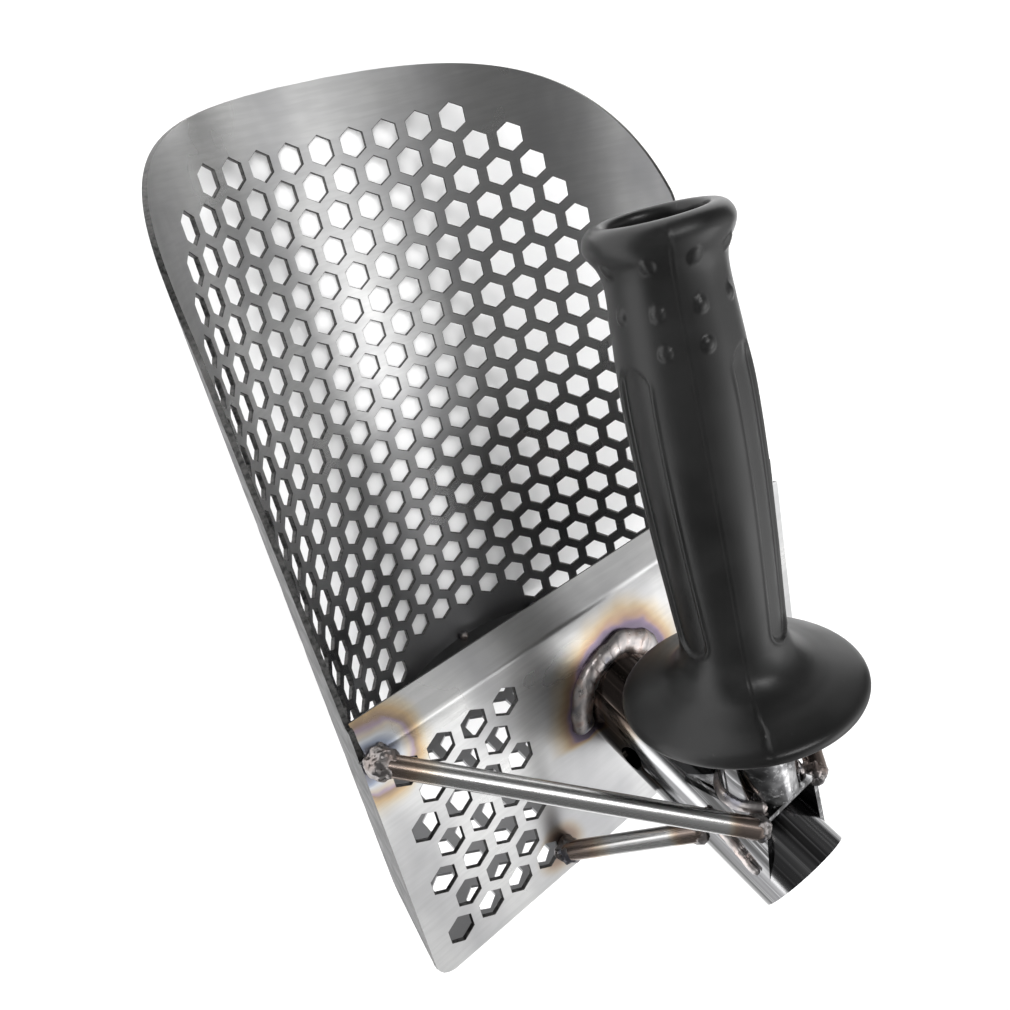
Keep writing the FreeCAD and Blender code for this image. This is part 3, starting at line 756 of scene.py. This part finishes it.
def curve_points(points, spacing):
    """Even points along a smooth curve through the given ones."""
    steps = 20
    fine = []
    for k in range(len(points) - 1):
        before = Vector(points[max(k - 1, 0)])
        start = Vector(points[k])
        end = Vector(points[k + 1])
        after = Vector(points[min(k + 2, len(points) - 1)])
        chord = (end - start).length
        lead = (end - before) * chord / max((end - before).length, 1e-9)
        trail = (after - start) * chord / max((after - start).length, 1e-9)
        for j in range(steps):
            t = j / steps
            fine.append(start * (2 * t ** 3 - 3 * t ** 2 + 1) + lead * (t ** 3 - 2 * t ** 2 + t)
                        + end * (3 * t ** 2 - 2 * t ** 3) + trail * (t ** 3 - t ** 2))
    fine.append(Vector(points[-1]))
    even = [fine[0]]
    travelled = 0.0
    for a, b in zip(fine, fine[1:]):
        travelled += (b - a).length
        if travelled >= spacing:
            even.append(b)
            travelled = 0.0
    return even


def arc_from(angle, centre, radius):
    """Signed length along the grip's surface from a centre angle."""
    turned = (angle - centre + 180) % 360 - 180
    return math.radians(turned) * radius


def panel_relief(along, radius, angle):
    """Recessed finger panels with round ends, each with a fine rib round its edge."""
    height = 0.0
    for centre in PANEL_ANGLES:
        across = abs(arc_from(angle, centre, radius))
        beyond = abs(along - PANEL_MIDDLE) - (PANEL_HALF_LENGTH - PANEL_HALF_WIDTH)
        inside = PANEL_HALF_WIDTH - math.hypot(max(beyond, 0.0), across)
        run_out = smooth(27.0, 36.0, along + 0.3 * across)
        height -= PANEL_DEPTH * smooth(-0.1, 0.75, inside) * run_out
        rib = math.exp(-((inside + 0.35) / 0.45) ** 2)
        height += 0.22 * rib * smooth(30.0, 38.0, along) * smooth(108.0, 104.0, along)
    return height


def bump_relief(along, radius, angle):
    """Small round bumps in mirrored pairs beside both mould seams."""
    height = 0.0
    for place, offset in BUMPS:
        for seam in SEAM_ANGLES:
            for side in (-1, 1):
                across = arc_from(angle, seam + side * offset, radius)
                away = math.hypot(along - place, across)
                height += BUMP_HEIGHT * max(0.0, 1 - (away / BUMP_R) ** 2) ** 0.7
    return height


def seam_relief(along, radius, angle):
    """Two grooved mould seams with flash at the open end, and a small tear in the guard."""
    height = 0.0
    for seam in SEAM_ANGLES:
        across = arc_from(angle, seam, radius)
        height += 0.10 * math.exp(-(across / 0.7) ** 2) - 0.16 * math.exp(-(across / 0.28) ** 2)
        flash = math.hypot((along - 3.0) / 1.8, across / 0.4)
        height += 0.35 * math.exp(-flash ** 2)
    across = arc_from(angle, SEAM_ANGLE, radius)
    tear = math.hypot((along - TEAR_ALONG) / 1.8, (across - 0.3 * math.sin(along * 2)) / 0.45)
    return height - 0.9 * math.exp(-tear ** 2)


def build_grip(material):
    """Moulded grip with recessed finger panels, bumps, mould seams and a flared guard."""
    rings = []
    in_bore = True
    for along, radius in curve_points(GRIP_OUTLINE, OUTLINE_STEP):
        in_bore = in_bore and radius < BORE_EDGE_R
        ring = []
        for k in range(AROUND_GRIP):
            angle = 360.0 * k / AROUND_GRIP
            turn = math.radians(angle)
            relief = 0.0
            if not in_bore and along <= GUARD_REAR:
                for moulding in (panel_relief, bump_relief, seam_relief):
                    relief += moulding(along, radius, angle)
            reach = (radius + relief) * MM
            ring.append(GRIP_TOP + GRIP_DIR * along * MM + GRIP_UP * math.cos(turn) * reach
                        + GRIP_LEFT * math.sin(turn) * reach)
        rings.append(ring)
    mesh = shaded(tube_mesh("grip", rings, closed=True), 50)
    as_piece(mesh, "grip", [material], "hand_grip")


# ---- weld beads ----------------------------------------------------------------
BEAD_FLATNESS = 0.62      # height of a bead over half its width
AROUND_BEAD = 20


def bead_mesh(name, path, width, up_at, ripple, seed):
    """Weld bead along a path: overlapping crescent ripples, uneven width, rounded ends.

    width is half the bead's width, and up_at(point) is the direction in which it stands up.
    """
    rings = []
    length = 0.0
    total = sum((b - a).length for a, b in zip(path, path[1:]))
    for k, point in enumerate(path):
        ahead = path[min(k + 1, len(path) - 1)]
        behind = path[max(k - 1, 0)]
        tangent = (ahead - behind).normalized()
        up = up_at(point).normalized()
        side = tangent.cross(up).normalized()
        if k:
            length += (point - behind).length
        size = 1 + 0.18 * noise.noise(Vector((length * 130, seed, 0)))
        from_end = min(length, total - length)
        size *= math.sqrt(smooth(0, 1, from_end / (width * 0.8))) * 0.98 + 0.02
        ring = []
        for j in range(AROUND_BEAD):
            turn = 2 * math.pi * j / AROUND_BEAD
            out = math.cos(turn)
            high = math.sin(turn)
            phase = (length + 0.35 * width * out * out) / ripple
            scallop = (phase % 1.0) ** 0.6
            lumpy = noise.noise(Vector((length * 260, out * 1.2 + seed, high * 1.2)))
            reach = width * size * (0.92 + 0.035 * scallop + 0.11 * lumpy)
            ring.append(point + side * out * reach + up * high * reach * BEAD_FLATNESS)
        rings.append(ring)
    return shaded(tube_mesh(name, rings))


def socket_bead(material):
    """Heavy bead round the front and sides of the tube's foot, widest at the left."""
    first, last, count = -8, 188, 420
    path = []
    for k in range(count):
        degrees = first + (last - first) * k / (count - 1)
        turn = math.radians(degrees)
        wander = 0.5 * noise.noise(Vector((3 * math.cos(turn), 3 * math.sin(turn), 5)))
        bulge = 1.2 * smooth(100, 145, degrees)
        reach = TUBE_R + (2.6 + bulge + wander) * MM
        path.append(Vector((reach * math.cos(turn),
                            TUBE_FOOT.y + reach / math.sin(TUBE_ANGLE) * math.sin(turn),
                            LID_TOP + 0.2 * MM)))
    mesh = bead_mesh("socket_bead", path, 4.4 * MM, lambda point: Vector((0, 0, 1)), 3.4 * MM, 1.0)
    as_piece(mesh, "socket_bead", [material], "socket_weld")


def stem_bead(material):
    """Bead round the sides and the underside of the stem, on the bracket's front."""
    first, last, count = 42, 318, 260
    centre = GRIP_TOP + GRIP_DIR * (GRIP_TOP.y - BRACKET_FRONT - 0.6 * MM)
    path = []
    for k in range(count):
        turn = math.radians(first + (last - first) * k / (count - 1))
        around = GRIP_UP * math.cos(turn) + GRIP_LEFT * math.sin(turn)
        path.append(centre + around * (STEM_R + 0.5 * MM))
    behind = centre + GRIP_DIR * 8 * MM
    mesh = bead_mesh("stem_bead", path, 1.7 * MM, lambda point: point - behind, 1.7 * MM, 2.0)
    as_piece(mesh, "stem_bead", [material], "stem_weld")


def cheek_bead(material, side_name):
    """Bead down the seam between the bracket's cheek and the tube."""
    side = 1 if side_name == "right" else -1
    below_end = 7.2 * MM
    seam_length = 20 * MM
    start = TUBE_END - TUBE_DIR * below_end + Vector((side * 13.9, 3.6, 1.8)) * MM
    end = start - TUBE_DIR * seam_length + Vector((-side * 1.2, 3.6, 0)) * MM
    count = 90
    path = []
    for k in range(count):
        t = k / (count - 1)
        sway = 0.35 * MM * noise.noise(Vector((t * 9, side, 3)))
        path.append(start.lerp(end, t) + Vector((sway, sway, 0)))
    name = "cheek_bead_" + side_name
    mesh = bead_mesh(name, path, 1.3 * MM, lambda point: Vector((side, 0.3, 0)), 1.3 * MM, 3.0 + side)
    as_piece(mesh, name, [material], "bracket_weld_" + side_name)


def blob_mesh(name, centre, radius, rests_at, seed):
    """Rounded lumpy weld blob round a rod's end, spread flat at the height where it rests, if any."""
    shape = bmesh.new()
    bmesh.ops.create_icosphere(shape, subdivisions=6, radius=1.0)
    for vertex in shape.verts:
        direction = vertex.co.normalized()
        lump = noise.noise(direction * 2.0 + Vector((seed, 0, 0)))
        pits = noise.noise(direction * 4.5 + Vector((0, seed, 0)))
        place = centre + direction * radius * (0.95 + 0.16 * lump + 0.05 * pits)
        if rests_at is not None:
            spread = radius * 0.16 * smooth(rests_at + 0.5 * radius, rests_at, place.z)
            place.x += direction.x * spread
            place.y += direction.y * spread
            place.z = max(place.z, rests_at)
            place.x = min(max(place.x, -LID_HALF_WIDTH), LID_HALF_WIDTH)
        vertex.co = place
    return shaded(finished_mesh(name, shape))


def rod_blobs(material):
    """The blobs at both ends of each brace, on both sides."""
    left_offset = Vector((0.7, -0.5, -0.4)) * MM
    on_lid = LID_TOP - 0.4 * MM
    kinds = [("brace_foot", 4.6 * MM, on_lid), ("brace_top", 3.9 * MM, None),
             ("rear_brace_foot", 4.3 * MM, on_lid), ("rear_brace_top", 4.0 * MM, None)]
    left = (BRACE_FOOT, BRACE_TOP, REAR_FOOT, REAR_TOP)
    right = (RIGHT_BRACE_FOOT, mirrored(BRACE_TOP), mirrored(REAR_FOOT), mirrored(REAR_TOP))
    sides = (("left", left, left_offset), ("right", right, mirrored(left_offset)))
    for number, (part, radius, rests_at) in enumerate(kinds):
        for side_number, (side_name, places, offset) in enumerate(sides):
            name = part + "_blob_" + side_name
            seed = 3.1 * number + side_number
            mesh = blob_mesh(name, places[number] + offset, radius, rests_at, seed)
            as_piece(mesh, name, [material], part + "_weld_" + side_name)


# ---- floor and light -----------------------------------------------------------
FLOOR_HALF = 4.0
GLOW_FROM = Vector((0.55, -0.42, 0.72))   # where the studio is brightest
LIGHT_AIM = Vector((0, 0, 50 * MM))
# name, place, width, height, watts, and whether metal reflects it
SOFTBOXES = [("key", (0.75, -0.65, 1.3), 1.0, 0.8, 3.2, True),
             ("fill", (-0.8, 0.8, 1.5), 1.6, 1.6, 22.0, False),
             ("front", (0.6, 1.5, 1.2), 1.6, 1.2, 14.0, False),
             ("left", (-1.5, -0.4, 1.2), 1.4, 1.4, 38.0, False),
             ("top_front", (-0.16, 0.78, 1.4), 0.8, 0.4, 5.0, True)]


def add_floor():
    """Pale floor just under the belly."""
    shape = bmesh.new()
    bmesh.ops.create_grid(shape, x_segments=4, y_segments=4, size=FLOOR_HALF)
    floor = bpy.data.objects.new("floor", finished_mesh("floor", shape))
    floor.location.z = cad_box[0][2] - 0.2 * MM
    floor.data.materials.append(floor_paint("floor_paint"))
    bpy.context.collection.objects.link(floor)


def add_softbox(name, place, width, height, power, reflected):
    """Rectangular area light aimed at the scoop."""
    data = bpy.data.lights.new(name, "AREA")
    data.shape = "RECTANGLE"
    data.size = width
    data.size_y = height
    data.energy = power
    light = bpy.data.objects.new(name, data)
    light.location = place
    light.rotation_euler = (LIGHT_AIM - Vector(place)).to_track_quat("-Z", "Y").to_euler()
    light.visible_glossy = reflected
    bpy.context.collection.objects.link(light)


def add_glow():
    """White world, bright from above on the right and behind, and darker all round."""
    world = bpy.data.worlds.new("studio")
    world.use_nodes = True
    nodes = world.node_tree.nodes
    links = world.node_tree.links
    background = nodes["Background"]
    background.inputs["Color"].default_value = (1.0, 1.0, 1.0, 1.0)
    coords = nodes.new("ShaderNodeTexCoord")
    facing = nodes.new("ShaderNodeVectorMath")
    facing.operation = "DOT_PRODUCT"
    facing.inputs[1].default_value = GLOW_FROM.normalized()
    spread = nodes.new("ShaderNodeMapRange")
    spread.interpolation_type = "SMOOTHSTEP"
    spread.inputs["From Min"].default_value = 0.52
    spread.inputs["From Max"].default_value = 0.99
    spread.inputs["To Min"].default_value = 0.16
    spread.inputs["To Max"].default_value = 1.05
    links.new(coords.outputs["Generated"], facing.inputs[0])
    links.new(facing.outputs["Value"], spread.inputs["Value"])
    links.new(spread.outputs["Result"], background.inputs["Strength"])
    bpy.context.scene.world = world


# ---- the scene -----------------------------------------------------------------
def lid_spots():
    """Heat tint on the lid round the socket's bead and the feet of the braces."""
    spots = [(distance_from_bead, 3.7 * MM, 12 * MM, HEAT_TINTS)]
    for foot in (BRACE_FOOT, RIGHT_BRACE_FOOT):
        spots.append((distance_from(foot), 4.5 * MM, 15 * MM, RAINBOW_TINTS))
    for foot in (REAR_FOOT, mirrored(REAR_FOOT)):
        spots.append((distance_from(foot), 3.5 * MM, 8 * MM, BROWN_TINTS))
    return spots


def dress(node, material):
    """Give a CAD node that stays visible its better material."""
    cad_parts[node].data.materials[0] = material


def dress_rods():
    """Give each brace the steel that is browned at its own two ends."""
    for node, start, end in (("brace_rod_left", BRACE_FOOT, BRACE_TOP),
                             ("brace_rod_right", RIGHT_BRACE_FOOT, mirrored(BRACE_TOP)),
                             ("rear_brace_left", REAR_FOOT, REAR_TOP),
                             ("rear_brace_right", mirrored(REAR_FOOT), mirrored(REAR_TOP))):
        dress(node, rod_steel(node + "_metal", start, end))


edge_metal = cut_edge("cut_edge")
# the outer faces of the sheets get steel whose colour is painted dark as painted shade
shade_painted_outside_metal = shade_painted_outside_steel("shade_painted_outside_sheet")
bead_metal = weld_metal("bead_metal")
bracket_metal = polished_steel("bracket_metal")

build_basket([sheet_steel("basket_sheet", shade=True), edge_metal, shade_painted_outside_metal])
build_lid([sheet_steel("lid_sheet", lid_spots()), edge_metal, shade_painted_outside_metal])
dress("rear_wall", sheet_steel("wall_sheet", shade=True))
browned_foot = [(distance_from(TUBE_FOOT), 14 * MM, 9 * MM, BROWN_TINTS)]
dress("socket_tube", polished_steel("tube_metal", browned_foot))
for node in ("stem_bracket", "handle_stem"):
    dress(node, bracket_metal)
for node in ("rear_tack_welds", "lid_seam_left", "lid_seam_right"):
    dress(node, bead_metal)
dress_rods()

build_grip(moulded_plastic("grip_plastic"))
socket_bead(bead_metal)
stem_bead(bead_metal)
for side_name in ("left", "right"):
    cheek_bead(bead_metal, side_name)
rod_blobs(weld_metal("blob_metal", 0.5))

add_floor()
add_glow()
for softbox in SOFTBOXES:
    add_softbox(*softbox)
add_camera()
bpy.context.scene.view_settings.view_transform = "Standard"
